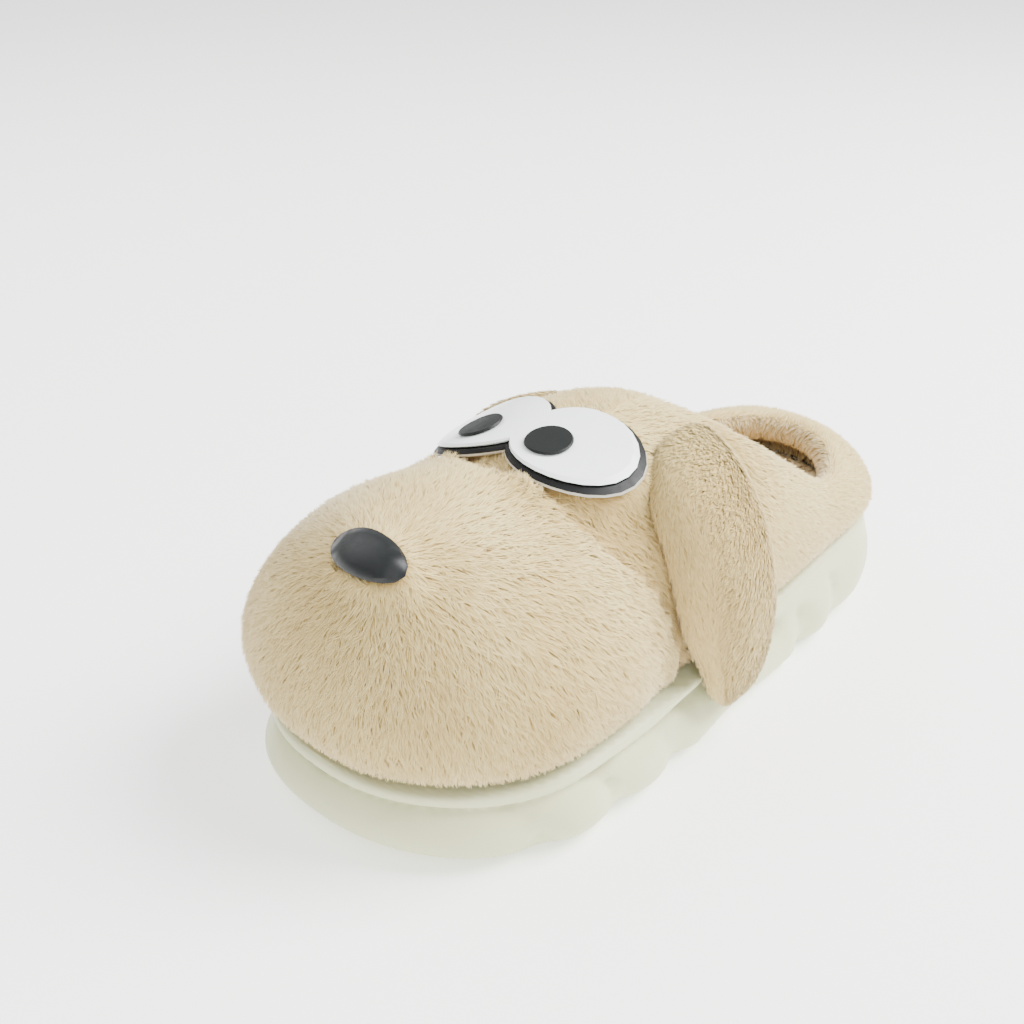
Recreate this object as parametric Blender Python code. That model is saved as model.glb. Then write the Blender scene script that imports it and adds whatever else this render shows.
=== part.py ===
"""Plush dog slipper, left shoe, standing on its sole.

The toe points along -Y and +X is the wearer's left, the outer side of this shoe. The sole is one
foam moulding with puffy lobes. The upper is a hollow plush shell, lofted from the outline of the
sole up to a spine that runs over the muzzle and the head and splits into the padded collar.
"""

import math
from collections import namedtuple

import bmesh
import bpy
import numpy as np
from mathutils import Vector
from mathutils.bvhtree import BVHTree

MM = 0.001
GAP = 0.3 * MM

# Sole
LENGTH = 270 * MM
SOLE_WIDTH = 122 * MM
TOE_THICKNESS = 28 * MM
HEEL_THICKNESS = 41 * MM
TOE_ROUND = 59 * MM
HEEL_ROUND = 48 * MM
TOE_SQUARENESS = 2.3
HEEL_SQUARENESS = 2.25
TOE_SPRING = 5 * MM
TOE_SPRING_LENGTH = 52 * MM
HEEL_BEVEL = 3 * MM
HEEL_BEVEL_LENGTH = 20 * MM
ARCH_RISE = 2.5 * MM
ARCH_START = 108 * MM
ARCH_LENGTH = 64 * MM
SIDE_TUCK = 9 * MM
LOBE_DEPTH = 7 * MM
LOBE_LEAN = 16 * MM
SCOOP_DEPTH = 5 * MM
GROOVE_END = 100 * MM
GROOVE_FADE = 70 * MM

# Upper
UPPER_INSET = 5.5 * MM
HEAD_HEIGHT = 108 * MM
SIDE_WALL = 8 * MM
TOP_WALL = 8 * MM
COLLAR_ROLL = 13 * MM
MUZZLE_ROUND = 36 * MM
BULGE = 13 * MM
THROAT = 158 * MM
OPENING_BACK = 252 * MM
OPENING_OUTER = 39.5 * MM
OPENING_INNER = 36 * MM
CHEEK_DEPTH = 8 * MM
CHEEK_WIDTH = 13 * MM
CHEEK_FOOT = 107 * MM
CHEEK_TOP = 88 * MM

# Insole
INSOLE_THICKNESS = 5 * MM
INSOLE_CLEARANCE = 2 * MM

# Ears
EAR_WIDTH = 55 * MM
EAR_PLACE = 132 * MM
INNER_EAR_BACK = 13 * MM
INNER_EAR_DROP = 0.10
EAR_THICKNESS = 12 * MM
EAR_GAP = 0.8 * MM
EAR_DROP = 15 * MM
EAR_EDGE = 0.30
EAR_BAND = 0.40

# Face
FACE_PLACE = 102 * MM
FACE_SIDE = -3 * MM
FACE_TILT = math.radians(9.5)
FACE_ROLL = math.radians(7)
FACE_RADIUS = 80 * MM
EYE_SPREAD = 18.3 * MM
EYE_ACROSS = 21.5 * MM
EYE_ALONG = 19 * MM
EYE_RIM = 1.8 * MM
PUPIL_SPREAD = 15.8 * MM
PUPIL_SIDE = -2.5 * MM
PUPIL_DROP = 5.5 * MM
PUPIL_RADIUS = 8 * MM
BACKING_THICKNESS = 1.8 * MM
WHITE_THICKNESS = 1.4 * MM
PUPIL_THICKNESS = 1 * MM
NOSE_PLACE = 14 * MM
NOSE_SIDE = 7.5 * MM
NOSE_TILT = math.radians(31)
NOSE_ROLL = math.radians(3)
NOSE_ACROSS = 15.5 * MM
NOSE_ALONG = 7.6 * MM
NOSE_THICKNESS = 2.4 * MM
NOSE_DOME = 2.2 * MM
NOSE_RADIUS = 45 * MM
PLATE_EDGE = 0.95
PLATE_LIFT = 0.8 * MM

# Mesh density
SOLE_STEPS = 70
VAMP_STEPS = 25
COLLAR_STEPS = 19
OUTER_ROWS = 14
INNER_ROWS = 9
ROLL_ROWS = 5

# Along the sole from toe to heel: half widths as shares of SOLE_WIDTH, and top as the share of the
# rise from TOE_THICKNESS to HEEL_THICKNESS.
SoleStation = namedtuple("SoleStation", "share outer inner top")
SOLE_STATIONS = (
    SoleStation(0.00, 0.475, 0.475, 0.00),
    SoleStation(0.10, 0.516, 0.475, 0.03),
    SoleStation(0.20, 0.545, 0.467, 0.08),
    SoleStation(0.30, 0.553, 0.447, 0.17),
    SoleStation(0.40, 0.545, 0.410, 0.26),
    SoleStation(0.50, 0.525, 0.377, 0.38),
    SoleStation(0.60, 0.508, 0.357, 0.52),
    SoleStation(0.70, 0.492, 0.348, 0.70),
    SoleStation(0.80, 0.475, 0.348, 0.87),
    SoleStation(0.90, 0.459, 0.348, 0.97),
    SoleStation(1.00, 0.443, 0.348, 1.00),
)

# Up the side of the sole: height as a share of its thickness, inset at the front and at the rear as
# shares of SIDE_TUCK, and how deep the creases and the scoop cut there, as shares of their depths.
SideRing = namedtuple("SideRing", "height front rear crease scoop")
SIDE_RINGS = (
    SideRing(0.00, 1.00, 1.00, 0.6, 0.0),
    SideRing(0.07, 0.48, 0.50, 0.9, 0.0),
    SideRing(0.19, 0.13, 0.18, 1.0, 0.1),
    SideRing(0.34, 0.00, 0.04, 1.0, 0.5),
    SideRing(0.48, 0.08, 0.00, 0.9, 0.9),
    SideRing(0.60, 0.25, 0.06, 0.7, 1.0),
    SideRing(0.70, 0.47, 0.18, 0.4, 0.8),
    SideRing(0.78, 0.72, 0.30, 0.1, 0.4),
    SideRing(0.82, 0.50, 0.34, 0.0, 0.2),
    SideRing(0.88, 0.42, 0.40, 0.0, 0.1),
    SideRing(0.95, 0.46, 0.47, 0.0, 0.0),
    SideRing(1.00, 0.60, 0.62, 0.0, 0.0),
)

# Creases at the floor, as shares of LENGTH. A recess has no lobe between its two creases.
OUTER_CREASES = (0.160, 0.275, 0.385, 0.720, 0.800)
INNER_CREASES = (0.150, 0.260, 0.370, 0.700, 0.800)
RECESS = 2

# The top line of the upper along its spine and collar: height as a share of HEAD_HEIGHT, and side
# as the spine's shift towards the outer side, a share of SOLE_WIDTH.
TopStation = namedtuple("TopStation", "share height side")
TOP_LINE = (
    TopStation(0.10, 0.880, -0.03),
    TopStation(0.20, 0.915, -0.03),
    TopStation(0.26, 0.922, -0.03),
    TopStation(0.30, 0.903, -0.03),
    TopStation(0.335, 0.880, -0.03),
    TopStation(0.38, 0.883, -0.03),
    TopStation(0.43, 0.912, -0.02),
    TopStation(0.47, 0.962, -0.01),
    TopStation(0.51, 0.985, 0.00),
    TopStation(0.55, 0.972, 0.02),
    TopStation(0.585, 0.930, 0.035),
    TopStation(0.64, 0.825, 0.045),
    TopStation(0.70, 0.700, 0.045),
    TopStation(0.76, 0.600, 0.045),
    TopStation(0.84, 0.562, 0.045),
    TopStation(0.95, 0.590, 0.045),
)

# Sections of the upper, each with a value for its outer and its inner side: squareness is the
# exponent of the side's superellipse, and bulge is how far the side swells, as a share of BULGE.
Section = namedtuple("Section", "share outer_squareness inner_squareness outer_bulge inner_bulge")
SECTIONS = (
    Section(0.00, 2.35, 2.35, 0.60, 0.60),
    Section(0.07, 2.35, 2.35, 0.42, 0.90),
    Section(0.15, 2.35, 2.45, 0.36, 1.00),
    Section(0.30, 2.65, 2.85, 0.38, 0.88),
    Section(0.42, 3.00, 2.90, 0.26, 0.70),
    Section(0.53, 2.60, 2.60, 0.20, 0.40),
    Section(0.62, 2.35, 2.40, 0.22, 0.26),
    Section(0.75, 2.60, 2.60, 0.24, 0.24),
    Section(0.85, 2.60, 2.60, 0.30, 0.30),
    Section(1.00, 2.40, 2.40, 0.33, 0.33),
)

# Down an ear: climb is the height on the side of the head, as a share of its height there, front and
# rear are the edges as shares of EAR_WIDTH, and depth is a share of EAR_THICKNESS.
EarRow = namedtuple("EarRow", "climb front rear depth")
EAR_ROWS = (
    EarRow(0.94, -0.32, 0.36, 0.28),
    EarRow(0.91, -0.46, 0.42, 0.45),
    EarRow(0.85, -0.57, 0.42, 0.66),
    EarRow(0.74, -0.60, 0.38, 0.88),
    EarRow(0.61, -0.60, 0.35, 1.00),
    EarRow(0.47, -0.60, 0.36, 1.00),
    EarRow(0.32, -0.56, 0.37, 1.00),
    EarRow(0.18, -0.50, 0.38, 0.95),
)
# Below the side of the head an ear hangs clear: fall is the share of the way to EAR_DROP.
EarTip = namedtuple("EarTip", "fall front rear depth")
EAR_TIPS = (
    EarTip(0.25, -0.44, 0.38, 0.90),
    EarTip(0.60, -0.36, 0.36, 0.78),
    EarTip(0.87, -0.25, 0.31, 0.60),
    EarTip(1.00, -0.13, 0.21, 0.38),
)


def smooth(stations, field, share):
    """The value of a table's field at a share, on a smooth curve that never overshoots its rows."""
    xs = np.array([row.share for row in stations])
    ys = np.array([getattr(row, field) for row in stations])
    steps = np.diff(xs)
    slopes = np.diff(ys) / steps
    tangents = np.zeros(len(xs))
    same_way = slopes[:-1] * slopes[1:] > 0
    means = 2 * slopes[:-1] * slopes[1:] / np.where(same_way, slopes[:-1] + slopes[1:], 1)
    tangents[1:-1] = np.where(same_way, means, 0)
    share = np.clip(np.asarray(share, float), xs[0], xs[-1])
    i = np.clip(np.searchsorted(xs, share, side="right") - 1, 0, len(steps) - 1)
    u = (share - xs[i]) / steps[i]
    start = (1 + 2 * u) * (1 - u) ** 2 * ys[i] + u * (1 - u) ** 2 * steps[i] * tangents[i]
    end = u**2 * (3 - 2 * u) * ys[i + 1] - u**2 * (1 - u) * steps[i] * tangents[i + 1]
    return start + end


def by_side(stations, field, shares, sides):
    """The value of a field that a table gives for the outer and the inner side."""
    outer = smooth(stations, "outer_" + field, shares)
    return np.where(sides > 0, outer, smooth(stations, "inner_" + field, shares))


def ease(value):
    value = np.clip(value, 0, 1)
    return value * value * (3 - 2 * value)


def share_of(y):
    return (y + LENGTH / 2) / LENGTH


def sole_top(y):
    rise = smooth(SOLE_STATIONS, "top", share_of(y))
    return TOE_THICKNESS + (HEEL_THICKNESS - TOE_THICKNESS) * rise


def sole_floor(y):
    """Toe spring, arch and heel bevel; the ball and the heel between them lie flat on the floor."""
    along = y + LENGTH / 2
    toe = np.clip(1 - along / TOE_SPRING_LENGTH, 0, 1)
    heel = np.clip(1 - (LENGTH - along) / HEEL_BEVEL_LENGTH, 0, 1)
    arch = np.clip((along - ARCH_START) / ARCH_LENGTH, 0, 1)
    return TOE_SPRING * toe**2 + HEEL_BEVEL * heel**2 + ARCH_RISE * np.sin(math.pi * arch) ** 2


def end_rounding(shares):
    along = shares * LENGTH
    toe = np.clip(1 - along / TOE_ROUND, 0, 1)
    heel = np.clip(1 - (LENGTH - along) / HEEL_ROUND, 0, 1)
    at_toe = (1 - toe**TOE_SQUARENESS) ** (1 / TOE_SQUARENESS)
    return at_toe * (1 - heel**HEEL_SQUARENESS) ** (1 / HEEL_SQUARENESS)


def side_points(shares, field):
    sign = 1 if field == "outer" else -1
    half = smooth(SOLE_STATIONS, field, shares) * SOLE_WIDTH * end_rounding(shares)
    return np.stack([sign * half, shares * LENGTH - LENGTH / 2], axis=1)


def round_trip(shares):
    """Shares and sides of a closed ring: the outer side from toe to heel, then the inner one back."""
    sides = np.concatenate([np.ones(len(shares)), -np.ones(len(shares) - 2)])
    return np.concatenate([shares, shares[-2:0:-1]]), sides


def outline(shares):
    """The sole's outline seen from above, and its outward normals, for stations toe to heel."""
    outer = side_points(shares, "outer")
    inner = side_points(shares, "inner")[-2:0:-1]
    ring = np.concatenate([outer, inner])
    along = np.roll(ring, -1, axis=0) - np.roll(ring, 1, axis=0)
    normals = np.stack([along[:, 1], -along[:, 0]], axis=1)
    return ring, normals / np.linalg.norm(normals, axis=1)[:, None]


def even_shares(count):
    """Stations that cut the outer side of the sole into equal lengths."""
    dense = (1 - np.cos(np.linspace(0, math.pi, 40 * count))) / 2
    points = side_points(dense, "outer")
    walked = np.concatenate([[0], np.cumsum(np.linalg.norm(np.diff(points, axis=0), axis=1))])
    return np.interp(np.linspace(0, walked[-1], count + 1), walked, dense)


class Loft:
    """Points and faces of one closed body, built ring by ring."""

    def __init__(self):
        self.points = []
        self.faces = []

    def ring(self, xy, z):
        first = len(self.points)
        z = np.broadcast_to(z, len(xy))
        self.points += [(x, y, height) for (x, y), height in zip(xy, z)]
        return list(range(first, len(self.points)))

    def wall(self, below, above):
        """Faces outwards between two closed rings of equal length."""
        for i, j in zip(range(len(below)), list(range(1, len(below))) + [0]):
            self.faces.append((below[i], below[j], above[j], above[i]))

    def strip(self, first, second):
        for i in range(len(first) - 1):
            self.faces.append((first[i], first[i + 1], second[i + 1], second[i]))

    def cap(self, ring, upwards):
        """Closes a ring with strips across it, from the outer side to the inner."""
        half = len(ring) // 2
        outer = ring[: half + 1]
        inner = [ring[0]] + ring[-1:half:-1] + [ring[half]]
        for i in range(half):
            face = [outer[i], outer[i + 1], inner[i + 1], inner[i]]
            face = list(dict.fromkeys(face))
            self.faces.append(tuple(face if upwards else reversed(face)))

    def build(self, name, finish):
        mesh = bpy.data.meshes.new(name)
        mesh.from_pydata(self.points, [], self.faces)
        soft = bmesh.new()
        soft.from_mesh(mesh)
        bmesh.ops.remove_doubles(soft, verts=soft.verts, dist=0.001 * MM)
        bmesh.ops.triangulate(soft, faces=soft.faces)
        soft.to_mesh(mesh)
        soft.free()
        mesh.shade_smooth()
        mesh.materials.append(finish)
        body = bpy.data.objects.new(name, mesh)
        slipper.objects.link(body)
        return body


def finish(name, colour, roughness):
    material = bpy.data.materials.new(name)
    material.use_nodes = True
    shader = material.node_tree.nodes["Principled BSDF"]
    shader.inputs["Base Color"].default_value = (*colour, 1)
    shader.inputs["Roughness"].default_value = roughness
    shader.inputs["Metallic"].default_value = 0
    return material


def lobes(shares, sides):
    """One on the crown of a lobe and zero in a crease; and where the smooth recess of the waist is."""
    full = np.ones(len(shares))
    recess = np.zeros(len(shares))
    for side, creases in ((1, OUTER_CREASES), (-1, INNER_CREASES)):
        here = sides == side
        ends = (-creases[0], *creases, 2 - creases[-1])
        for place, (start, end) in enumerate(zip(ends, ends[1:])):
            inside = here & (shares >= start) & (shares < end)
            across = (shares[inside] - start) / (end - start)
            crown = (4 * across * (1 - across)) ** 0.42
            full[inside] = crown
            if place == RECESS + 1:
                full[inside] = np.maximum(crown, ease(8 * np.minimum(across, 1 - across)))
                recess[inside] = ease(5 * np.minimum(across, 1 - across))
    return full, recess


def make_sole(rubber):
    shares = even_shares(SOLE_STEPS)
    ring, normals = outline(shares)
    ring_shares, sides = round_trip(shares)
    to_rear = ease((ring_shares * LENGTH - GROOVE_END) / GROOVE_FADE)
    loft = Loft()
    rings = []
    for side_ring in SIDE_RINGS:
        lean = LOBE_LEAN / LENGTH * side_ring.height**1.5
        full, recess = lobes(ring_shares + lean, sides)
        inset = SIDE_TUCK * (side_ring.front + (side_ring.rear - side_ring.front) * to_rear)
        inset = inset + LOBE_DEPTH * side_ring.crease * (1 - full) + SCOOP_DEPTH * side_ring.scoop * recess
        xy = ring - normals * inset[:, None]
        low = sole_floor(xy[:, 1])
        rings.append(loft.ring(xy, low + (sole_top(xy[:, 1]) - low) * side_ring.height))
    for below, above in zip(rings, rings[1:]):
        loft.wall(below, above)
    loft.cap(rings[0], upwards=False)
    loft.cap(rings[-1], upwards=True)
    return loft.build("sole", rubber)


def upper_shares():
    """Stations close together at the toe, at both ends of the opening and at the heel."""
    throat = THROAT / LENGTH
    vamp = throat * (1 - np.cos(np.linspace(0, math.pi / 2, VAMP_STEPS + 1)))
    collar = throat + (1 - throat) * (1 - np.cos(np.linspace(0, math.pi, COLLAR_STEPS + 1))) / 2
    return np.concatenate([vamp, collar[1:]])


def top_point(shares, sides):
    """Where the columns end at the top, and the direction into the opening: the spine line in
    front of the throat, and behind it the crest of the collar."""
    along = shares * LENGTH
    front = UPPER_INSET + MUZZLE_ROUND
    spine = front + (THROAT - front) * np.clip(along / THROAT, 0, 1)
    turn = np.arccos(np.clip(1 - 2 * (along - THROAT) / (LENGTH - THROAT), -1, 1))
    turn = np.where(along > THROAT, turn, 0)
    middle = (THROAT + OPENING_BACK) / 2
    y = np.where(along > THROAT, middle - (OPENING_BACK - THROAT) / 2 * np.cos(turn), spine)
    reach = np.where(sides > 0, OPENING_OUTER, OPENING_INNER)
    x = smooth(TOP_LINE, "side", y / LENGTH) * SOLE_WIDTH + sides * reach * np.sin(turn)
    inwards = np.stack([-sides * np.sin(turn) / reach, np.cos(turn) * 2 / (OPENING_BACK - THROAT)], axis=1)
    inwards /= np.linalg.norm(inwards, axis=1)[:, None]
    z = smooth(TOP_LINE, "height", y / LENGTH) * HEAD_HEIGHT
    return np.stack([x, y - LENGTH / 2], axis=1), z, inwards


def columns(shares, sides, inset=0.0):
    """Foot and top of each column of the upper, measured this far inside its outer surface."""
    ends = np.unique(np.concatenate([shares, [0, 1]]))
    ring, normals = outline(ends)
    ring_shares, ring_sides = round_trip(ends)
    foot = np.empty((len(shares), 2))
    for i, (share, side) in enumerate(zip(shares, sides)):
        match = (np.abs(ring_shares - share) < 1e-9) & ((ring_sides == side) | (share in (0, 1)))
        place = int(np.argmax(match))
        foot[i] = ring[place] - normals[place] * (UPPER_INSET + inset)
    top, height, inwards = top_point(shares, sides)
    return foot, top, height, inwards


def side_surface(shares, sides, foot, top, height, climb_angle, low, outer):
    """Points at this angle up the columns, 0 at the foot and 90 degrees at the top."""
    power = 2 / by_side(SECTIONS, "squareness", shares, sides)
    reach = max(math.cos(climb_angle), 0) ** power
    climb = math.sin(climb_angle) ** power
    out = foot - top
    length = np.linalg.norm(out, axis=1)
    heading = out / length[:, None]
    swell = BULGE * by_side(SECTIONS, "bulge", shares, sides) * np.sin(math.pi * climb**0.6)
    along = foot[:, 1] + LENGTH / 2
    valley = CHEEK_FOOT + (CHEEK_TOP - CHEEK_FOOT) * climb
    fade = ease((1 - climb) / 0.15) * (0.25 + 0.75 * ease(climb / 0.15))
    cheek = CHEEK_DEPTH * np.exp(-(((along - valley) / CHEEK_WIDTH) ** 2)) * fade
    xy = top + out * reach[:, None] + heading * (outer * (swell - cheek))[:, None]
    return xy, low + (height - low) * climb


def make_upper(plush):
    shares, sides = round_trip(upper_shares())
    foot, top, height, inwards = columns(shares, sides)
    inner_foot = columns(shares, sides, SIDE_WALL)[0]
    roll = TOP_WALL + (COLLAR_ROLL - TOP_WALL) * ease((shares * LENGTH - 0.75 * THROAT) / (0.25 * THROAT))
    loft = Loft()
    outer = []
    for angle in np.linspace(0, math.pi / 2, OUTER_ROWS + 1):
        low = sole_top(foot[:, 1]) + GAP
        outer.append(loft.ring(*side_surface(shares, sides, foot, top, height, angle, low, 1)))
    inner = []
    for angle in np.linspace(0, math.pi / 2, INNER_ROWS + 1):
        low = sole_top(inner_foot[:, 1]) + GAP
        inner.append(loft.ring(*side_surface(shares, sides, inner_foot, top, height - roll, angle, low, 0.7)))
    for below, above in zip(outer, outer[1:]):
        loft.wall(below, above)
    for below, above in zip(inner, inner[1:]):
        loft.wall(above, below)
    loft.wall(inner[0], outer[0])
    add_collar_roll(loft, outer[-1], inner[-1], (top, height, inwards, roll))
    return loft.build("upper", plush)


def add_collar_roll(loft, outer_top, inner_top, crest):
    """The padded edge of the opening, from the crest round to the inside."""
    top, height, inwards, roll = crest
    around = list(range(VAMP_STEPS, VAMP_STEPS + 2 * COLLAR_STEPS + 1))
    rows = [[outer_top[i] for i in around]]
    for angle in np.linspace(math.pi / 2, -math.pi / 2, ROLL_ROWS + 1)[1:-1]:
        xy = top + inwards * (roll / 2 * math.cos(angle))[:, None]
        z = height - roll / 2 + roll / 2 * math.sin(angle)
        row = loft.ring(xy[around], z[around])
        rows.append(row)
    rows.append([inner_top[i] for i in around])
    for below, above in zip(rows, rows[1:]):
        loft.strip(below, above)


def make_insole(lining):
    shares = even_shares(SOLE_STEPS // 2)
    ring, normals = outline(shares)
    loft = Loft()
    wall = UPPER_INSET + SIDE_WALL + INSOLE_CLEARANCE
    rings = []
    for height, inset in ((0, 0.5 * MM), (0.35, 0), (0.8, 0.6 * MM), (1, 3 * MM)):
        xy = ring - normals * (wall + inset)
        rings.append(loft.ring(xy, sole_top(xy[:, 1]) + GAP + INSOLE_THICKNESS * height))
    for below, above in zip(rings, rings[1:]):
        loft.wall(below, above)
    loft.cap(rings[0], upwards=False)
    loft.cap(rings[-1], upwards=True)
    return loft.build("insole", lining)


def make_ear(name, side, plush):
    """A padded flap that follows the side of the head and hangs over the edge of the sole."""
    across = np.linspace(-1, 1, 9)
    pad = EAR_EDGE + (1 - EAR_EDGE) * (1 - across**4) ** 0.6
    loft = Loft()
    inner = []
    outer = []
    for row in EAR_ROWS + EAR_TIPS:
        middle = EAR_PLACE + EAR_WIDTH * (row.front + row.rear) / 2
        middle = middle if side > 0 else middle + INNER_EAR_BACK
        shares = (middle + EAR_WIDTH * (row.rear - row.front) / 2 * across) / LENGTH
        sides = np.full(len(shares), side)
        foot, top, height, _ = columns(shares, sides)
        low = sole_top(foot[:, 1]) + GAP
        climb = row.climb if isinstance(row, EarRow) else EAR_ROWS[-1].climb
        climb = climb if side > 0 else climb * (1 - INNER_EAR_DROP)
        power = 2 / by_side(SECTIONS, "squareness", shares, sides).mean()
        angle = math.asin(climb ** (1 / power))
        xy, z = side_surface(shares, sides, foot, top, height, angle, low, 1)
        nearby, higher = side_surface(shares, sides, foot, top, height, angle + 0.05, low, 1)
        lean = np.stack([(higher - z), -side * (nearby - xy)[:, 0]], axis=1)
        lean /= np.linalg.norm(lean, axis=1)[:, None]
        if isinstance(row, EarTip):
            band = side_points(shares, "outer" if side > 0 else "inner")[:, 0]
            clear = np.abs(band) - SIDE_TUCK * EAR_BAND
            reach = np.maximum(side * xy[:, 0], clear)
            xy[:, 0] = side * (side * xy[:, 0] + (reach - side * xy[:, 0]) * ease(row.fall / 0.4))
            z = z + (EAR_DROP - z) * row.fall
            lean = np.stack([np.ones(len(z)), np.zeros(len(z))], axis=1)
        for rows, lift in ((inner, EAR_GAP), (outer, EAR_GAP + EAR_THICKNESS * row.depth * pad)):
            shifted = np.stack([xy[:, 0] + side * lean[:, 0] * lift, xy[:, 1]], axis=1)
            rows.append(loft.ring(shifted, z + lean[:, 1] * lift))
    sheets = (inner, outer) if side > 0 else (outer, inner)
    for upper_row, lower_row in zip(sheets[0], sheets[0][1:]):
        loft.strip(upper_row, lower_row)
    for upper_row, lower_row in zip(sheets[1], sheets[1][1:]):
        loft.strip(lower_row, upper_row)
    for edge in (0, -1):
        first = [row[edge] for row in sheets[0]]
        second = [row[edge] for row in sheets[1]]
        loft.strip(*((first, second) if edge == 0 else (second, first)))
    loft.strip(sheets[1][0], sheets[0][0])
    loft.strip(sheets[0][-1], sheets[1][-1])
    return loft.build(name, plush)


class Seat:
    """A tilted place just clear of the upper, for a stiff plate that bends across with a radius."""

    def __init__(self, upper, spot, tilt, roll, reach, radius):
        self.along = np.array([0, math.cos(tilt), math.sin(tilt)])
        across = np.array([math.cos(roll), 0, math.sin(roll)])
        across -= self.along * (across @ self.along)
        self.across = across / np.linalg.norm(across)
        self.up = np.cross(self.across, self.along)
        self.middle = np.array([*spot, HEAD_HEIGHT])
        self.radius = radius
        self.clear = -HEAD_HEIGHT
        tree = BVHTree.FromObject(upper, bpy.context.evaluated_depsgraph_get())
        steps = np.linspace(-1, 1, 17)
        for u in steps:
            for v in steps:
                if u * u + v * v <= 1:
                    self.clear = max(self.clear, self.depth(tree, u * reach[0], v * reach[1]))

    def depth(self, tree, u, v):
        """How far the upper reaches above the bent sheet here."""
        start = self.middle + self.across * u + self.along * v + self.up * HEAD_HEIGHT
        _, _, _, distance = tree.ray_cast(Vector(start), Vector(-self.up))
        return HEAD_HEIGHT - distance + u * u / (2 * self.radius)

    def point(self, u, v, lift):
        height = self.clear + lift - u * u / (2 * self.radius)
        spot = self.middle + np.outer(u, self.across) + np.outer(v, self.along)
        return spot + np.outer(height, self.up)


def oval_reach(angles, ovals):
    """How far the joined ovals reach from the middle of the plate, in each direction."""
    reach = np.zeros(len(angles))
    for u, v, across, along in ovals:
        ahead = np.stack([np.cos(angles) / across, np.sin(angles) / along])
        back = np.array([[u / across], [v / along]])
        a = (ahead**2).sum(axis=0)
        b = (ahead * back).sum(axis=0)
        c = (back**2).sum() - 1
        reach = np.maximum(reach, (b + np.sqrt(np.maximum(b * b - a * c, 0))) / a)
    return reach


def make_plate(name, seat, middle, ovals, lift, thickness, colour, dome=0.0, spokes=24, circles=2):
    """A moulded plate that lies on its seat, with a rounded edge and a face that can be domed."""
    angles = np.linspace(0, 2 * math.pi, spokes, endpoint=False)
    reach = oval_reach(angles, ovals)
    loft = Loft()

    def add(fraction, height):
        u = middle[0] + reach * fraction * np.cos(angles)
        v = middle[1] + reach * fraction * np.sin(angles)
        points = seat.point(u, v, lift + height)
        return loft.ring(points[:, :2], points[:, 2])

    def hub(height):
        spot = seat.point(np.array([middle[0]]), np.array([middle[1]]), lift + height)
        return loft.ring(spot[:, :2], spot[:, 2])[0]

    fractions = np.linspace(0, PLATE_EDGE, circles + 1)[1:]
    under = [add(fraction, 0) for fraction in fractions]
    over = [add(fraction, thickness + dome * (1 - fraction**2)) for fraction in reversed(fractions)]
    rings = under + [add(1, thickness * 0.45)] + over
    for below, above in zip(rings, rings[1:]):
        loft.wall(below, above)
    low = hub(0)
    high = hub(thickness + dome)
    for i, j in zip(range(spokes), list(range(1, spokes)) + [0]):
        loft.faces.append((low, rings[0][j], rings[0][i]))
        loft.faces.append((high, rings[-1][i], rings[-1][j]))
    return loft.build(name, colour)


def make_face(upper, black, white):
    ovals = [(side * EYE_SPREAD, 0, EYE_ACROSS, EYE_ALONG) for side in (-1, 1)]
    rims = [(u, v, across + EYE_RIM, along + EYE_RIM) for u, v, across, along in ovals]
    reach = (EYE_SPREAD + EYE_ACROSS + EYE_RIM, EYE_ALONG + EYE_RIM)
    spot = (FACE_SIDE, FACE_PLACE - LENGTH / 2)
    seat = Seat(upper, spot, FACE_TILT, FACE_ROLL, reach, FACE_RADIUS)
    middle = (0, 0)
    make_plate("eye_backing", seat, middle, rims, PLATE_LIFT, BACKING_THICKNESS, black, spokes=48, circles=4)
    lift = PLATE_LIFT + BACKING_THICKNESS + GAP
    make_plate("eye_white", seat, middle, ovals, lift, WHITE_THICKNESS, white, spokes=48, circles=4)
    lift += WHITE_THICKNESS + GAP
    pupil = [(0, 0, PUPIL_RADIUS, PUPIL_RADIUS)]
    for name, side in (("pupil_left", 1), ("pupil_right", -1)):
        place = (side * PUPIL_SPREAD + PUPIL_SIDE, -PUPIL_DROP)
        make_plate(name, seat, place, pupil, lift, PUPIL_THICKNESS, black)


def make_nose(upper, black):
    reach = (NOSE_ACROSS, NOSE_ALONG)
    spot = (NOSE_SIDE, NOSE_PLACE - LENGTH / 2)
    seat = Seat(upper, spot, NOSE_TILT, NOSE_ROLL, reach, NOSE_RADIUS)
    oval = [(0, 0, NOSE_ACROSS, NOSE_ALONG)]
    make_plate("nose", seat, (0, 0), oval, GAP, NOSE_THICKNESS, black, NOSE_DOME, spokes=32, circles=3)


def stand_in_the_middle():
    """Moves everything so that the origin is on the floor, under the middle of the whole slipper."""
    corners = np.array([tuple(vertex.co) for body in slipper.objects for vertex in body.data.vertices])
    low, high = corners.min(axis=0), corners.max(axis=0)
    shift = Vector((-(low[0] + high[0]) / 2, -(low[1] + high[1]) / 2, -low[2]))
    for body in slipper.objects:
        for vertex in body.data.vertices:
            vertex.co += shift


for leftover in list(bpy.data.objects):
    bpy.data.objects.remove(leftover)
slipper = bpy.data.collections.new("slipper")
bpy.context.scene.collection.children.link(slipper)
foam = finish("eva_foam", (0.76, 0.76, 0.66), 0.55)
fur = finish("plush", (0.68, 0.57, 0.42), 0.95)
sock = finish("lining_plush", (0.55, 0.44, 0.32), 0.95)
black_plastic = finish("black_plastic", (0.045, 0.05, 0.053), 0.45)
white_plastic = finish("white_plastic", (0.87, 0.90, 0.89), 0.4)
make_sole(foam)
upper_body = make_upper(fur)
make_insole(sock)
make_ear("ear_left", 1, fur)
make_ear("ear_right", -1, fur)
make_face(upper_body, black_plastic, white_plastic)
make_nose(upper_body, black_plastic)
stand_in_the_middle()
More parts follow.
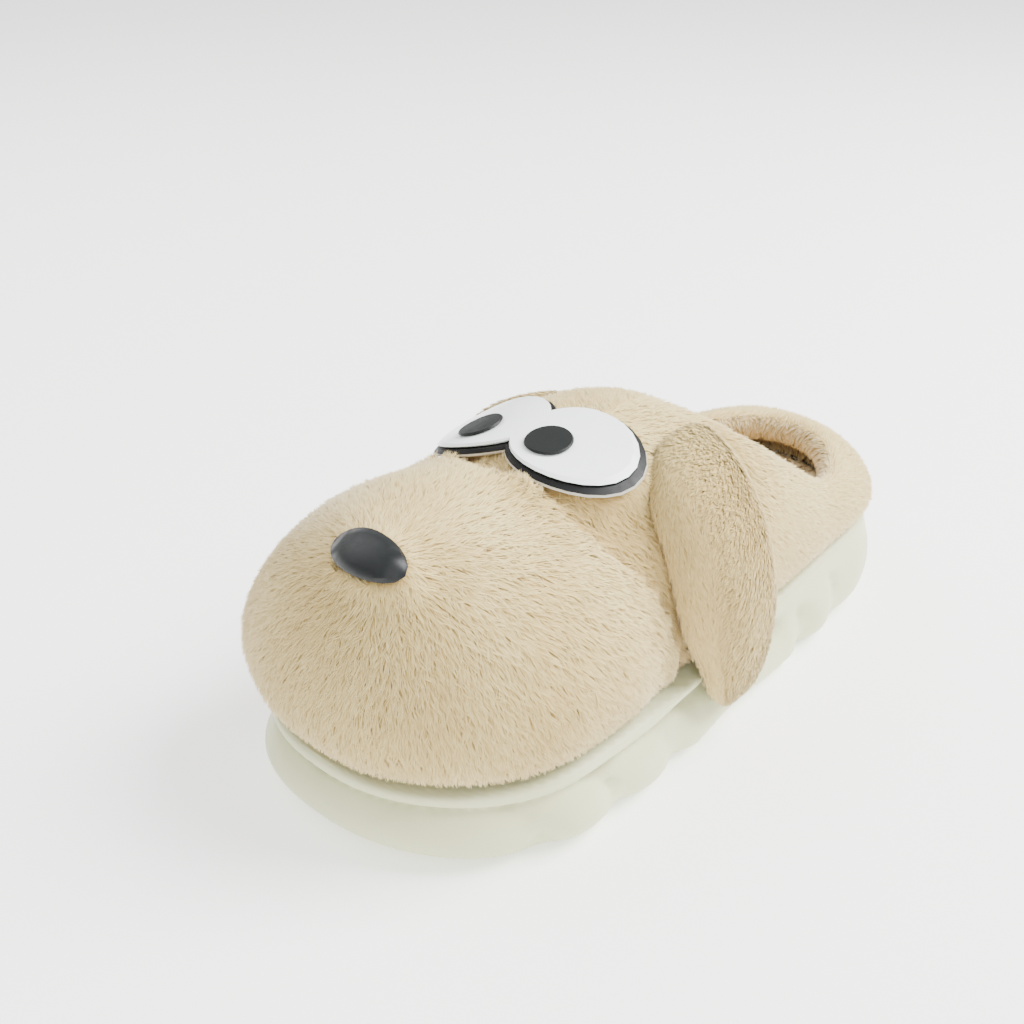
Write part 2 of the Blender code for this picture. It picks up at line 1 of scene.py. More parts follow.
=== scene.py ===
"""Plush dog slipper, the left one of a pair: fur over a padded upper, hanging ears, glossy face plates and a puffy foam sole."""

import math

import bpy
import numpy as np
from mathutils import Matrix, Vector
from mathutils.bvhtree import BVHTree
from mathutils.kdtree import KDTree


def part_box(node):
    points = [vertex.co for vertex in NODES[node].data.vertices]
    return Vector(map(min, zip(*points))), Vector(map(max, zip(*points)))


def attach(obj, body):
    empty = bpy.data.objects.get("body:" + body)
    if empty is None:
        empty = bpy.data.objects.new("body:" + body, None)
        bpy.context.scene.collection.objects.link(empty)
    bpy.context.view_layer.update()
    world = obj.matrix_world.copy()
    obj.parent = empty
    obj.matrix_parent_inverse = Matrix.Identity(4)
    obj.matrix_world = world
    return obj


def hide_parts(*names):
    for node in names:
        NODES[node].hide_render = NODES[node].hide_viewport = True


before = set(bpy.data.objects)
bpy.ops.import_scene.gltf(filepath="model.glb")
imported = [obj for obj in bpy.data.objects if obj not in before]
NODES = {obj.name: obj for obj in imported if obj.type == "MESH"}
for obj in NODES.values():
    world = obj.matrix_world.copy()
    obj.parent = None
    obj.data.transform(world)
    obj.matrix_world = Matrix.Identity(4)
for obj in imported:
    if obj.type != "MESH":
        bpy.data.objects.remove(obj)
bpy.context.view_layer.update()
MM = 0.001

# The pile stands this far out of its cloth, and its tips lie at the CAD surface.
PILE = 1.7 * MM
EAR_PILE = 1.3 * MM
LINING_PILE = 1.4 * MM
SOFTNESS = 0.22
NOSE_TIP = Vector((0.002, -0.113, 0.096))


# ---------------------------------------------------------------- small helpers


def clear_selection():
    if bpy.context.mode != "OBJECT":
        bpy.ops.object.mode_set(mode="OBJECT")
    bpy.ops.object.select_all(action="DESELECT")


def pick(piece):
    clear_selection()
    piece.select_set(True)
    bpy.context.view_layer.objects.active = piece


def linear(code):
    """An sRGB hex colour as the linear RGBA that Blender's sockets take."""
    values = [int(code[i : i + 2], 16) / 255 for i in (1, 3, 5)]
    return tuple(v / 12.92 if v <= 0.04045 else ((v + 0.055) / 1.055) ** 2.4 for v in values) + (1.0,)


def copy_of(node, name, level=1, quads=True):
    """A merged, smoother copy of a CAD node's mesh, as a piece of its own."""
    piece = bpy.data.objects.new(name, NODES[node].data.copy())
    piece.data.name = name
    bpy.context.scene.collection.objects.link(piece)
    pick(piece)
    bpy.ops.object.mode_set(mode="EDIT")
    bpy.ops.mesh.select_all(action="SELECT")
    bpy.ops.mesh.remove_doubles(threshold=0.00001)
    if quads:
        bpy.ops.mesh.tris_convert_to_quads(face_threshold=math.radians(40), shape_threshold=math.radians(60))
    bpy.ops.object.mode_set(mode="OBJECT")
    if level:
        soften = piece.modifiers.new("soften", "SUBSURF")
        soften.levels = soften.render_levels = level
        bpy.ops.object.modifier_apply(modifier=soften.name)
    bpy.ops.object.shade_smooth()
    return piece


def finish_piece(piece, material, slot, *nodes):
    piece.data.materials.clear()
    piece.data.materials.append(material)
    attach(piece, "root")
    if nodes:
        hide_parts(*nodes)
    return piece


def points_of(mesh):
    found = np.empty(len(mesh.vertices) * 3)
    mesh.vertices.foreach_get("co", found)
    return found.reshape(-1, 3)


def normals_of(mesh):
    found = np.empty(len(mesh.vertices) * 3)
    mesh.vertices.foreach_get("normal", found)
    return found.reshape(-1, 3)


def unit(rows):
    return rows / np.maximum(np.linalg.norm(rows, axis=1, keepdims=True), 1e-9)


def hollows_of(mesh, rounds):
    """0 to 1 for each point: how deep it sits in a crease, against its neighbours."""
    points, facing = points_of(mesh), normals_of(mesh)
    ends = np.empty(len(mesh.edges) * 2, np.int64)
    mesh.edges.foreach_get("vertices", ends)
    one, other = ends.reshape(-1, 2).T
    count = np.bincount(ends, minlength=len(points))[:, None]

    def around(values):
        total = np.zeros_like(values)
        np.add.at(total, one, values[other])
        np.add.at(total, other, values[one])
        return total / count

    lower = points
    for _ in range(2 * rounds):
        lower = around(lower)
    depth = ((lower - points) * facing).sum(axis=1)[:, None]
    for _ in range(rounds):
        depth = (depth + around(depth)) / 2
    return ease(depth[:, 0], 0.02 * MM, 0.8 * MM)


def ease(value, start, end):
    share = np.clip((value - start) / (end - start), 0, 1)
    return share * share * (3 - 2 * share)


# ---------------------------------------------------------------- materials


def add(tree, kind, sockets=None, **settings):
    """Adds a node. settings are its own fields, and sockets are its inputs: a value, or another node's output."""
    made = tree.nodes.new(kind)
    for field, value in settings.items():
        setattr(made, field, value)
    for name, value in (sockets or {}).items():
        socket = made.inputs[name]
        if isinstance(value, bpy.types.NodeSocket):
            tree.links.new(value, socket)
        else:
            socket.default_value = value
    return made


def surface(name, sockets):
    """A new material with one Principled shader, and that shader."""
    material = bpy.data.materials.new(name)
    material.use_nodes = True
    shader = material.node_tree.nodes["Principled BSDF"]
    for field, value in sockets.items():
        shader.inputs[field].default_value = value
    return material, material.node_tree, shader


def ramp(tree, factor, *stops):
    """A colour ramp: stops are (place, hex)."""
    made = add(tree, "ShaderNodeValToRGB", {"Fac": factor})
    bar = made.color_ramp
    while len(bar.elements) < len(stops):
        bar.elements.new(0.5)
    for element, (place, code) in zip(bar.elements, stops):
        element.position = place
        element.color = linear(code)
    return made.outputs["Color"]


def eva_foam():
    """Moulded EVA foam: a satin skin with a fine, shallow mould grain, slightly uneven gloss, and painted shade in the
    creases between the puffs.
    """
    material, tree, shader = surface("eva_foam_moulded", {"Roughness": 0.42, "IOR": 1.49, "Subsurface Weight": 0.08, "Subsurface Scale": 0.004})
    place = add(tree, "ShaderNodeTexCoord").outputs["Object"]
    clouds = add(tree, "ShaderNodeTexNoise", {"Vector": place, "Scale": 18.0, "Detail": 3.0, "Roughness": 0.55})
    colour = ramp(tree, clouds.outputs["Fac"], (0.30, "#bfc196"), (0.55, "#c8ca9f"), (0.75, "#cfd1a9"))
    # Painted shade: in the creases between the puffs the colour is mixed towards a dark olive, by the crease depth.
    crease = add(tree, "ShaderNodeAttribute", attribute_name="crease").outputs["Fac"]
    shaded = add(tree, "ShaderNodeMix", {0: crease, 6: colour, 7: linear("#8f8c66")}, data_type="RGBA").outputs[2]
    tree.links.new(shaded, shader.inputs["Base Color"])
    gloss = add(tree, "ShaderNodeMapRange", {"Value": clouds.outputs["Fac"], "From Min": 0.3, "From Max": 0.7, "To Min": 0.36, "To Max": 0.5})
    tree.links.new(gloss.outputs["Result"], shader.inputs["Roughness"])
    # Mould grain about 0.7 mm across.
    grain = add(tree, "ShaderNodeTexNoise", {"Vector": place, "Scale": 1400.0, "Detail": 2.0})
    # Slow waviness of a foamed wall, about 12 mm across.
    waves = add(tree, "ShaderNodeTexNoise", {"Vector": place, "Scale": 80.0, "Detail": 1.0})
    skin = add(tree, "ShaderNodeBump", {"Strength": 0.12, "Distance": 0.0002, "Height": grain.outputs["Fac"]})
    wall = add(tree, "ShaderNodeBump", {"Strength": 0.25, "Distance": 0.0006, "Height": waves.outputs["Fac"], "Normal": skin.outputs["Normal"]})
    # Tread: shallow wavy ribs 6 mm apart, only on the flat underside.
    ribs = add(tree, "ShaderNodeTexWave", {"Vector": place, "Scale": 26.0, "Distortion": 3.0, "Detail": 1.0, "Detail Scale": 2.0}, wave_type="BANDS", bands_direction="Y", wave_profile="SIN")
    height = add(tree, "ShaderNodeSeparateXYZ", {"Vector": place}).outputs["Z"]
    under = add(tree, "ShaderNodeMapRange", {"Value": height, "From Min": 0.0008, "From Max": 0.0004, "To Min": 0.0, "To Max": 1.0})
    tread = add(tree, "ShaderNodeMath", {0: ribs.outputs["Fac"], 1: under.outputs["Result"]}, operation="MULTIPLY")
    sole_face = add(tree, "ShaderNodeBump", {"Strength": 0.8, "Distance": 0.0015, "Height": tread.outputs["Value"], "Normal": wall.outputs["Normal"]})
    tree.links.new(sole_face.outputs["Normal"], shader.inputs["Normal"])
    return material


def plush(name, root_shade, body, tips):
    """Polyester plush pile: matt, soft strands with a faint sheen, and painted shade at the roots, so the pile is
    darker and warmer between the locks and paler at the tips.
    """
    material, tree, shader = surface(name, {"Roughness": 0.85, "IOR": 1.53, "Specular IOR Level": 0.2, "Sheen Weight": 0.2, "Sheen Roughness": 0.5})
    strand = add(tree, "ShaderNodeUVMap", uv_map="strand").outputs["UV"]
    parts = add(tree, "ShaderNodeSeparateXYZ", {"Vector": strand})
    tone, along = parts.outputs["X"], parts.outputs["Y"]
    low = ramp(tree, tone, (0.0, root_shade[0]), (1.0, root_shade[1]))
    middle = ramp(tree, tone, (0.0, body[0]), (0.5, body[1]), (1.0, body[2]))
    high = ramp(tree, tone, (0.0, tips[0]), (0.5, tips[1]), (1.0, tips[2]))
    # Painted shade: each strand's colour darkens and warms from its tip down to its root.
    near_root = add(tree, "ShaderNodeMapRange", {"Value": along, "From Min": 0.1, "From Max": 0.6}).outputs["Result"]
    near_tip = add(tree, "ShaderNodeMapRange", {"Value": along, "From Min": 0.5, "From Max": 1.0}).outputs["Result"]
    lower = add(tree, "ShaderNodeMix", {0: near_root, 6: low, 7: middle}, data_type="RGBA").outputs[2]
    whole = add(tree, "ShaderNodeMix", {0: near_tip, 6: lower, 7: high}, data_type="RGBA").outputs[2]
    tree.links.new(whole, shader.inputs["Base Color"])
    return material


def pile_cloth(name, dark, light):
    """The knitted cloth that the pile stands in, in the colour of the pile's shaded roots, with the rows of the knit."""
    material, tree, shader = surface(name, {"Roughness": 0.95, "Specular IOR Level": 0.1, "Sheen Weight": 0.3})
    place = add(tree, "ShaderNodeTexCoord").outputs["Object"]
    patches = add(tree, "ShaderNodeTexNoise", {"Vector": place, "Scale": 220.0, "Detail": 4.0})
    colour = ramp(tree, patches.outputs["Fac"], (0.3, dark), (0.7, light))
    tree.links.new(colour, shader.inputs["Base Color"])
    knit = add(tree, "ShaderNodeTexWave", {"Vector": place, "Scale": 160.0, "Distortion": 1.5}, wave_type="BANDS", bands_direction="DIAGONAL")
    bump = add(tree, "ShaderNodeBump", {"Strength": 0.6, "Distance": 0.0005, "Height": knit.outputs["Fac"]})
    tree.links.new(bump.outputs["Normal"], shader.inputs["Normal"])
    return material


def glossy_plastic(name, code, darker, roughness):
    """Injection-moulded ABS plate: a hard glossy skin with a faint orange peel and small handling marks in the gloss."""
    material, tree, shader = surface(name, {"Roughness": roughness, "IOR": 1.53, "Specular IOR Level": 0.25})
    place = add(tree, "ShaderNodeTexCoord").outputs["Object"]
    clouds = add(tree, "ShaderNodeTexNoise", {"Vector": place, "Scale": 60.0, "Detail": 3.0})
    tree.links.new(ramp(tree, clouds.outputs["Fac"], (0.3, darker), (0.65, code)), shader.inputs["Base Color"])
    marks = add(tree, "ShaderNodeTexNoise", {"Vector": place, "Scale": 340.0, "Detail": 5.0, "Roughness": 0.7})
    gloss = add(tree, "ShaderNodeMapRange", {"Value": marks.outputs["Fac"], "From Min": 0.35, "From Max": 0.7, "To Min": roughness - 0.05, "To Max": roughness + 0.08})
    tree.links.new(gloss.outputs["Result"], shader.inputs["Roughness"])
    peel = add(tree, "ShaderNodeTexNoise", {"Vector": place, "Scale": 900.0, "Detail": 1.0})
    bump = add(tree, "ShaderNodeBump", {"Strength": 0.08, "Distance": 0.0001, "Height": peel.outputs["Fac"]})
    tree.links.new(bump.outputs["Normal"], shader.inputs["Normal"])
    return material


# ---------------------------------------------------------------- pile


def roots_on(mesh, count, wanted, seed):
    """Evenly spread places on a closed mesh: points, smooth normals. wanted(points, normals) is the share of full density there."""
    rng = np.random.default_rng(seed)
    mesh.calc_loop_triangles()
    corners = np.empty(len(mesh.loop_triangles) * 3, np.int64)
    mesh.loop_triangles.foreach_get("vertices", corners)
    corners = corners.reshape(-1, 3)
    points, normals = points_of(mesh), normals_of(mesh)
    a, b, c = (points[corners[:, i]] for i in range(3))
    area = np.linalg.norm(np.cross(b - a, c - a), axis=1) / 2
    area = area * wanted((a + b + c) / 3, unit(np.cross(b - a, c - a)))
    reach = np.cumsum(area)
    spread = (np.arange(count) + rng.random(count)) / count * reach[-1]
    face = np.minimum(np.searchsorted(reach, spread), len(reach) - 1)
    s, t = np.sqrt(rng.random(count)), rng.random(count)
    share = np.stack([1 - s, s * (1 - t), s * t], axis=1)
    place = (points[corners[face]] * share[:, :, None]).sum(axis=1)
    facing = unit((normals[corners[face]] * share[:, :, None]).sum(axis=1))
    return place, facing


def smooth_patches(points, scale, seed):
    """Slow variation over the piece, about -1 to 1: patches about scale metres across."""
    rng = np.random.default_rng(seed)
    total = np.zeros(len(points))
    for _ in range(5):
        wave = unit(rng.normal(size=(1, 3)))[0] * 2 * math.pi / scale * rng.uniform(0.6, 1.5)
        total += np.sin(points @ wave + rng.uniform(0, 2 * math.pi))
    return total / 2.5


def nearest_on(shape, points):
    return np.array([shape.find_nearest(p)[0] for p in points])


def grow_pile(name, skin, cloth, points, facing, lie, length, width, seed, rise=0.6 * MM, unruly=0.3, clump=4, gather=0.2, tone=0.0):
    """Pile as one mesh: each strand is a thin closed spike from the cloth to the skin of tips, leaning along lie.
    Neighbouring strands lean together in clumps, as brushed plush does."""
    rng = np.random.default_rng(seed)
    count = len(points)
    flow = unit(lie - facing * (lie * facing).sum(axis=1, keepdims=True))
    side = np.cross(facing, flow)
    leads = rng.permutation(count)[: max(1, count // clump)]
    tree = KDTree(len(leads))
    for place, lead in enumerate(leads):
        tree.insert(points[lead], place)
    tree.balance()
    member = np.array([tree.find(p)[1] for p in points])
    swing = rng.normal(0, unruly, len(leads))[member] + rng.normal(0, unruly * 0.4, count)
    lift = rng.normal(0, 0.45, len(leads))[member] + rng.normal(0, 0.2, count)
    reach = length * (0.55 + 0.45 * ease(points[:, 2], 31 * MM, 44 * MM)) * (1 + 0.15 * rng.normal(size=len(leads))[member] + 0.12 * rng.normal(size=count))
    flow = flow * np.cos(swing)[:, None] + side * np.sin(swing)[:, None]
    side = np.cross(facing, flow)
    root = nearest_on(cloth, points - flow * (0.5 * reach)[:, None])
    tip = points + flow * (0.5 * reach)[:, None]
    tip = 0.75 * nearest_on(skin, tip) + 0.25 * tip + facing * (rise * (1 + lift))[:, None]
    tip += gather * (tip[leads][member] - tip)
    wide = width * (1 + 0.2 * rng.normal(size=count)).clip(0.5, 1.5)
    ring = []
    for turn in (90, 210, 330):
        c, s = math.cos(math.radians(turn)), math.sin(math.radians(turn))
        ring.append(root + side * (wide * c * 0.58)[:, None] + facing * (wide * s * 0.35)[:, None])
    vertices = np.stack([*ring, tip], axis=1).reshape(-1, 3)
    pattern = np.array([(0, 2, 1), (3, 0, 1), (3, 1, 2), (3, 2, 0)])
    faces = (pattern[None] + 4 * np.arange(count)[:, None, None]).reshape(-1, 3)
    mesh = bpy.data.meshes.new(name)
    mesh.vertices.add(len(vertices))
    mesh.vertices.foreach_set("co", vertices.ravel())
    mesh.loops.add(len(faces) * 3)
    mesh.loops.foreach_set("vertex_index", faces.ravel())
    mesh.polygons.add(len(faces))
    mesh.polygons.foreach_set("loop_start", np.arange(len(faces)) * 3)
    mesh.update(calc_edges=True)
    shade = 0.5 + tone + 0.15 * smooth_patches(points, 45 * MM, seed) + 0.09 * rng.normal(size=len(leads))[member] + 0.12 * rng.normal(size=count)
    along = np.array([0.0, 0.0, 0.0, 1.0])
    strand = np.stack([np.repeat(shade.clip(0.01, 0.99), 4), np.tile(along, count)], axis=1)[faces.ravel()]
    for layer in ("strand", "OFBake"):
        mesh.uv_layers.new(name=layer).data.foreach_set("uv", strand.ravel())
    mesh.polygons.foreach_set("use_smooth", np.ones(len(faces), bool))
    # The strands are lit mostly as the surface that they lie on, which keeps the pile soft instead of grainy.
    outward = np.repeat(facing, 4, axis=0).reshape(-1, 4, 3).copy()
    outward[:, 1] -= SOFTNESS * side
    outward[:, 2] += SOFTNESS * side
    outward[:, 3] += 0.25 * flow
    mesh.normals_split_custom_set_from_vertices(unit(outward.reshape(-1, 3)))
    piece = bpy.data.objects.new(name, mesh)
    bpy.context.scene.collection.objects.link(piece)
    return piece


def shape_of(mesh):
    return BVHTree.FromPolygons([v.co for v in mesh.vertices], [tuple(p.vertices) for p in mesh.polygons])


def under_plates(points, facing):
    """For each point: how far the pile has to rise to meet a plate above it, and whether a plate covers it."""
    swell, hidden = np.zeros(len(points)), np.zeros(len(points), bool)
    for plate, shape in PLATES.items():
        low, high = (np.array(corner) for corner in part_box(plate))
        margin = 14 * MM
        for i in np.flatnonzero(((points > low - margin) & (points < high + margin)).all(axis=1)):
            near = shape.find_nearest(points[i])[0]
            across = np.array(near) - points[i]
            height = across @ facing[i]
            aside = np.linalg.norm(across - height * facing[i])
            swell[i] = max(swell[i], (height - 0.9 * MM) * (1 - ease(aside, 0.5 * MM, 7 * MM)))
            start = Vector(points[i] - 1 * MM * facing[i])
            if shape.ray_cast(start, Vector(facing[i]), margin)[0] is not None:
                hidden[i] = True
    return swell, hidden


# ---------------------------------------------------------------- upper


def outside_share(points, facing):
    """1 on the upper's outer face, 0 on the inner one, by whether the surface looks away from the foot's own axis."""
    axis = np.stack([np.zeros(len(points)), points[:, 1], np.full(len(points), 48 * MM)], axis=1)
    axis[:, 1] = np.clip(axis[:, 1], -85 * MM, 80 * MM)
    away = unit(points - axis)
    return ease((away * facing).sum(axis=1), -0.25, 0.35)


def draw_in(piece, depth):
    """Moves each point inward along its normal."""
    mesh = piece.data
    points, facing = points_of(mesh), normals_of(mesh)
    mesh.vertices.foreach_set("co", (points - facing * depth(points, facing)[:, None]).ravel())
    mesh.update()


def away_from(points, centre):
    return unit(points - np.array(centre))


SEAM_HEIGHT = np.array([28.8, 46.0, 64.0, 83.5, 91.8, 100.0]) * MM
SEAM_PLACE = np.array([-24.5, -28.0, -34.0, -47.7, -52.0, -55.0]) * MM


def past_seam(points):
    """How far behind the muzzle's seam a point is, along the shoe. The seam climbs from the sole, leaning forward."""
    return points[:, 1] - np.interp(points[:, 2], SEAM_HEIGHT, SEAM_PLACE)


def muzzle_step(points):
    """The muzzle's panel is padded over its seam, and the cheek's panel is pulled in beside it."""
    past = past_seam(points)
    return np.where(past < 0, 1.6 * MM * (1 - ease(-past, 1 * MM, 13 * MM)), -1.9 * MM * (1 - ease(past, 1 * MM, 10 * MM)))


def cheek_tone_and_shade(points):
    """The cheek's pile is darker and warmer beside the muzzle's seam, fading out 14 to 34 mm behind it: partly the
    cheek panel's own warmer colour, partly painted shade in the recess under the muzzle's padded edge. From 75 mm down,
    all the pile also gets painted shade, a little darker towards the bottom.
    """
    past = past_seam(points)
    return np.where(past > 0, -0.48 * (1 - ease(past, 14 * MM, 34 * MM)), 0.0) - 0.12 * (1 - ease(points[:, 2], 45 * MM, 75 * MM))


def upper_lie(points, facing):
    """Which way the pile is brushed, by zone: down and round the muzzle, down the cheeks, back round the heel, and into the opening."""
    down = np.tile([0.0, 0.0, -1.0], (len(points), 1))
    back = np.tile([0.0, 1.0, 0.0], (len(points), 1))
    from_nose = away_from(points, NOSE_TIP)
    muzzle = unit(0.6 * from_nose + 1.0 * down + 0.15 * back)
    cheek = unit(down + 0.35 * back + 0.5 * np.stack([np.sign(points[:, 0]), 0 * points[:, 0], 0 * points[:, 0]], axis=1) * ease(facing[:, 2], 0.2, 0.9)[:, None])
    heel = unit(down * 0.9 + 0.8 * back)
    to_cheek = ease(past_seam(points), -1 * MM, 1 * MM)[:, None]
    to_heel = ease(points[:, 1], 10 * MM, 60 * MM)[:, None]
    lie = muzzle * (1 - to_cheek) + cheek * to_cheek
    lie = lie * (1 - to_heel) + heel * to_heel
    inside = 1 - outside_share(points, facing)[:, None]
    return lie * (1 - inside) + inside * down


# The first pair of colours of each pile is painted shade for the roots, between the locks.
plush_fur = plush(
    "plush_pile_polyester",
    ("#bd9c5c", "#ccae6e"),
    ("#caac6c", "#d6bc7c", "#e2ca8d"),
    ("#d8bb7c", "#e5ce8f", "#f4e2a6"),
)
lining_fur = plush(
    "plush_lining_short_pile",
    ("#d0b079", "#dcbf8a"),
    ("#e2c48d", "#ecd29d", "#f4deae"),
    ("#eccf9b", "#f4dbaa", "#fae6ba"),
)
fur_cloth = pile_cloth("plush_backing_knitted", "#c6a468", "#d4b57a")
foam = eva_foam()
white_gloss = glossy_plastic("abs_moulded_white", "#f4fbf6", "#eff7f2", 0.16)
black_gloss = glossy_plastic("abs_moulded_black", "#060707", "#040505", 0.5)
pupil_gloss = glossy_plastic("abs_moulded_charcoal", "#0e1211", "#0a0e0d", 0.5)
nose_gloss = glossy_plastic("abs_moulded_nose_satin", "#121516", "#0e1112", 0.42)

PLATES = {plate: shape_of(NODES[plate].data) for plate in ("eye_backing", "nose")}

skin = copy_of("upper", "upper_skin", level=1)
draw_in(skin, lambda points, facing: -under_plates(points, facing)[0] - muzzle_step(points) * outside_share(points, facing))
cloth = bpy.data.objects.new("upper_cloth", skin.data.copy())
bpy.context.scene.collection.objects.link(cloth)
draw_in(cloth, lambda points, facing: LINING_PILE + (PILE - LINING_PILE) * outside_share(points, facing))
finish_piece(cloth, fur_cloth, "plush", "upper")
skin_shape, cloth_shape = shape_of(skin.data), shape_of(cloth.data)

ZONES = {
    "fur_muzzle": (49500, lambda p: past_seam(p) < 0, 5.2, 0.66, 11),
    "fur_head": (46000, lambda p: (past_seam(p) >= 0) * (p[:, 1] < 37 * MM), 4.8, 0.66, 12),
    "fur_heel": (40000, lambda p: p[:, 1] >= 37 * MM, 4.6, 0.7, 13),
}
for name, (count, zone, length, width, seed) in ZONES.items():
    points, facing = roots_on(skin.data, count, lambda p, n: zone(p) * outside_share(p, n) * (p[:, 2] > 30 * MM), seed)
    lie = upper_lie(points, facing)
    swell, hidden = under_plates(points, facing)
    hidden |= under_plates(points + lie * 2 * MM, facing)[1]
    points, facing, lie = points[~hidden], facing[~hidden], lie[~hidden]
    fur = grow_pile(name, skin_shape, cloth_shape, points, facing, lie, length * MM, width * MM, seed, tone=cheek_tone_and_shade(points))
    finish_piece(fur, plush_fur, "plush")

points, facing = roots_on(skin.data, 12000, lambda p, n: (1 - outside_share(p, n)) * (0.25 + ease(p[:, 1], 10 * MM, 40 * MM)) * (p[:, 2] > 33 * MM), 21)
lining = grow_pile("fur_lining", skin_shape, cloth_shape, points, facing, upper_lie(points, facing), 4.0 * MM, 1.1 * MM, 21, rise=0.3 * MM)
finish_piece(lining, lining_fur, "lining")

# Short tips of the muzzle's pile stand up over the front edges of the eye plate and the nose.
points, facing = roots_on(skin.data, 90000, lambda p, n: (p[:, 1] < -20 * MM) * (p[:, 2] > 80 * MM) * (n[:, 2] > 0), 51)
for plate, low_side in (("eye_backing", (0.2, -1.0, -0.2)), ("nose", (-0.5, -0.8, -0.3))):
    corner, far = (np.array(c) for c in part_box(plate))
    middle = (corner + far) / 2
    near = nearest_on(PLATES[plate], points)
    aside = np.linalg.norm(near - points, axis=1)
    ahead = (unit(points - middle) @ unit(np.array([low_side]))[0]) > 0.35
    tuft = np.flatnonzero((aside < 2.6 * MM) & ahead & ~under_plates(points, facing)[1])
    inward = unit(middle - points[tuft])
    fur = grow_pile(plate + "_edge_fur", skin_shape, cloth_shape, points[tuft], facing[tuft], inward, 2.8 * MM, 0.42 * MM, 52, rise=1.3 * MM, unruly=0.3, gather=0.1, tone=0.05)
    finish_piece(fur, plush_fur, "plush")
bpy.data.objects.remove(skin)


# ---------------------------------------------------------------- ears, insole


def ear_lie(points, facing):
    """The ear's pile is brushed forward, towards the toe, and a little down. On its front and rear edges it runs down and outward."""
    forward = np.array([[0.0, -1.0, -0.22]])
    edge = np.stack([0.5 * np.sign(points[:, 0]), np.zeros(len(points)), np.full(len(points), -1.0)], axis=1)
    on_edge = ease(np.abs(facing[:, 1]), 0.3, 0.8)[:, None]
    return unit(forward * (1 - on_edge) + edge * on_edge)


def ear_outside(points, facing):
    """The ear's hidden side needs only a thin pile."""
    return 0.3 + ease(facing[:, 0] * np.sign(points[:, 0]) + 0.5 * facing[:, 2], -0.3, 0.3)


for node, count, seed in (("ear_left", 30000, 31), ("ear_right", 20000, 32)):
    shape = copy_of(node, node + "_shape", level=1)
    ear = copy_of(node, node + "_cloth", level=1)
    draw_in(ear, lambda points, facing: np.full(len(points), EAR_PILE * 0.9))
    finish_piece(ear, fur_cloth, "plush", node)
    points, facing = roots_on(shape.data, count, ear_outside, seed)
    fur = grow_pile(node + "_fur", shape_of(shape.data), shape_of(ear.data), points, facing, ear_lie(points, facing), 5.0 * MM, 0.7 * MM, seed, rise=0.4 * MM, unruly=0.26, tone=-0.22)
    finish_piece(fur, plush_fur, "plush")
    bpy.data.objects.remove(shape)

footbed = copy_of("insole", "insole_cloth", level=1)
draw_in(footbed, lambda points, facing: LINING_PILE * 0.8 * ease(facing[:, 2], 0.2, 0.8))
finish_piece(footbed, pile_cloth("lining_backing_knitted", "#cdab74", "#dbbc87"), "lining", "insole")
points, facing = roots_on(footbed.data, 9000, lambda p, n: (n[:, 2] > 0.3) * (0.2 + ease(p[:, 1], 10 * MM, 40 * MM)), 41)
bed = shape_of(footbed.data)
bed_fur = grow_pile("insole_fur", bed, bed, points, facing, np.tile([0.1, -1.0, 0.0], (len(points), 1)), 4.0 * MM, 1.1 * MM, 41, rise=1.2 * MM)
finish_piece(bed_fur, lining_fur, "lining")


# ---------------------------------------------------------------- sole and plates

sole = copy_of("sole", "sole_foam", level=1, quads=False)
hollow = hollows_of(sole.data, rounds=7)
draw_in(sole, lambda points, facing: 0.9 * MM * hollow)
# The crease depth is stored on the foam as an attribute, which paints shade into its creases.
sole.data.attributes.new("crease", "FLOAT", "POINT").data.foreach_set("value", 0.6 * hollow)
finish_piece(sole, foam, "eva_foam", "sole")

for node, name, material, slot in (
    ("eye_backing", "eye_rim_plate", black_gloss, "black_plastic"),
    ("eye_white", "eye_white_plate", white_gloss, "white_plastic"),
    ("pupil_left", "pupil_left_disc", pupil_gloss, "black_plastic"),
    ("pupil_right", "pupil_right_disc", pupil_gloss, "black_plastic"),
    ("nose", "nose_plate", nose_gloss, "black_plastic"),
):
    finish_piece(copy_of(node, name, level=0), material, slot, node)
    bpy.ops.object.shade_smooth_by_angle(angle=math.radians(38))


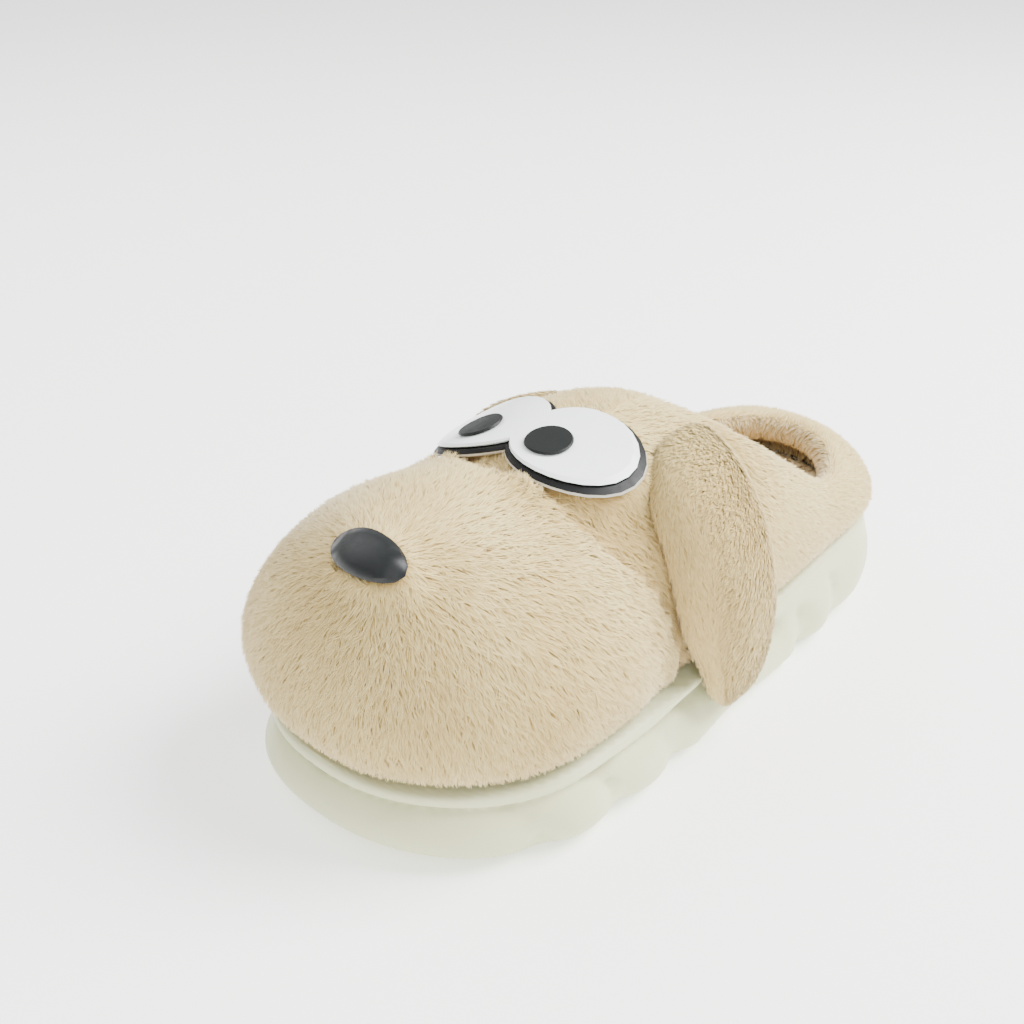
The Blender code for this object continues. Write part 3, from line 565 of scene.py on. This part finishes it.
# A thin pale edge shows all round under the black plate, where its moulded lip meets the plush.
lip = copy_of("eye_backing", "eye_pale_lip", level=0)
lip_points = points_of(lip.data)
lip_middle = lip_points.mean(axis=0)
lip_points = lip_middle + (lip_points - lip_middle) * 1.012 - np.array([0.25, -0.2, 0.9]) * 0.9 * MM
lip.data.vertices.foreach_set("co", lip_points.ravel())
finish_piece(lip, glossy_plastic("pvc_moulded_pale_lip", "#d9d3c2", "#cfc9b8", 0.4), "white_plastic")


# ---------------------------------------------------------------- studio

clear_selection()
bpy.ops.mesh.primitive_plane_add(size=6, location=(0, 0, 0))
floor = bpy.context.object
floor.name = "studio_floor"
paper, paper_tree, paper_shader = surface("paper_sweep_matt", {"Base Color": linear("#fbfbfa"), "Roughness": 0.9, "Emission Color": (1.0, 1.0, 1.0, 1.0), "Emission Strength": 0.85})
floor.data.materials.append(paper)


def soft_light(name, place, aim, size, power):
    clear_selection()
    bpy.ops.object.light_add(type="AREA", location=place)
    lamp = bpy.context.object
    lamp.name = name
    lamp.data.shape = "SQUARE"
    lamp.data.size = size
    lamp.data.energy = power
    lamp.rotation_euler = (Vector(place) - Vector(aim)).to_track_quat("Z", "Y").to_euler()
    return lamp


soft_light("key_softbox", (0.70, 0.80, 1.25), (0, 0, 0.05), 1.0, 84)
soft_light("fill_softbox", (0.9, -0.9, 0.8), (0, 0, 0.05), 1.2, 12)
soft_light("side_softbox", (-0.9, -0.3, 1.1), (0, 0, 0.05), 1.2, 12)

world = bpy.data.worlds.new("studio_air")
world.use_nodes = True
world.node_tree.nodes["Background"].inputs["Color"].default_value = (1, 1, 1, 1)
world.node_tree.nodes["Background"].inputs["Strength"].default_value = 1.0
bpy.context.scene.world = world

camera = bpy.data.objects.new("camera", bpy.data.cameras.new("camera"))
bpy.context.scene.collection.objects.link(camera)
camera.data.lens = 46.5
camera.data.sensor_width = 36
right, up, behind = Vector((0.7254, 0.6884, 0.0)), Vector((-0.3232, 0.3406, 0.8830)), Vector((0.6078, -0.6405, 0.4695))
turn = Matrix((right, up, behind)).transposed().to_4x4()
camera.matrix_world = Matrix.Translation((0.25779, -0.32177, 0.28330)) @ turn
bpy.context.scene.camera = camera
